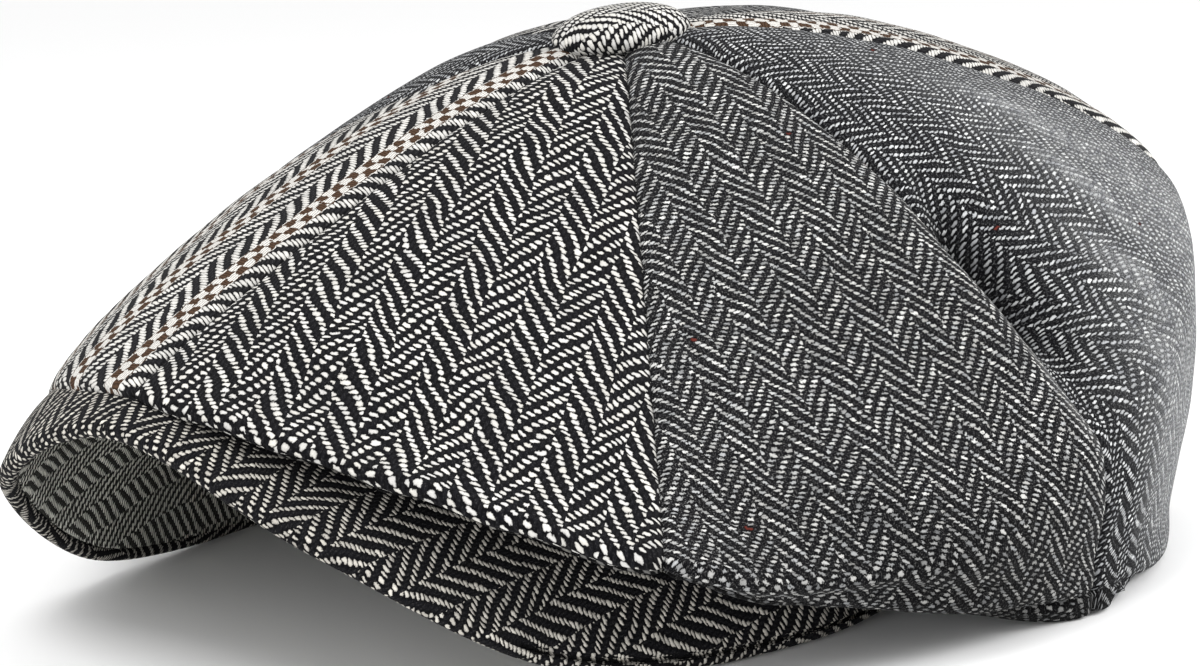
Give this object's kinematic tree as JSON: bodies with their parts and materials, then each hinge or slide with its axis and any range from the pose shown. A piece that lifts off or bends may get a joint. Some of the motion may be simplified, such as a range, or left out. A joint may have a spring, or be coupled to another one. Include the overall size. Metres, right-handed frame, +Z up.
{
  "type": "flat cap",
  "caption": "Soft tweed flat cap with a panelled baker-boy crown, a covered button on top, a head band and a curved peak.",
  "frame": {"origin": "on the table, under the middle of the cap's length and width", "axes": "+Z up, the peak points to -Y, the wearer's left is +X"},
  "size_m": [0.2624, 0.282, 0.1315],
  "materials": {
    "tweed_black_cream": "black and cream herringbone wool tweed, coarse",
    "tweed_charcoal": "charcoal and pale grey heathered herringbone tweed",
    "tweed_dark": "dark grey fine herringbone tweed",
    "tweed_cream_check": "cream herringbone tweed with dark chevrons and brown check lines",
    "tweed_band": "dark grey tweed head band",
    "tweed_peak": "black and cream herringbone tweed over a curved board"
  },
  "bodies": {
    "root": {"panel_front_left": "tweed_black_cream", "panel_side_left": "tweed_charcoal", "panel_rear_left": "tweed_dark", "panel_back_left": "tweed_cream_check", "panel_back_right": "tweed_charcoal", "panel_rear_right": "tweed_black_cream", "panel_side_right": "tweed_dark", "panel_front_right": "tweed_cream_check", "button": "tweed_black_cream", "band": "tweed_band", "peak": "tweed_peak"}
  },
  "joints": []
}
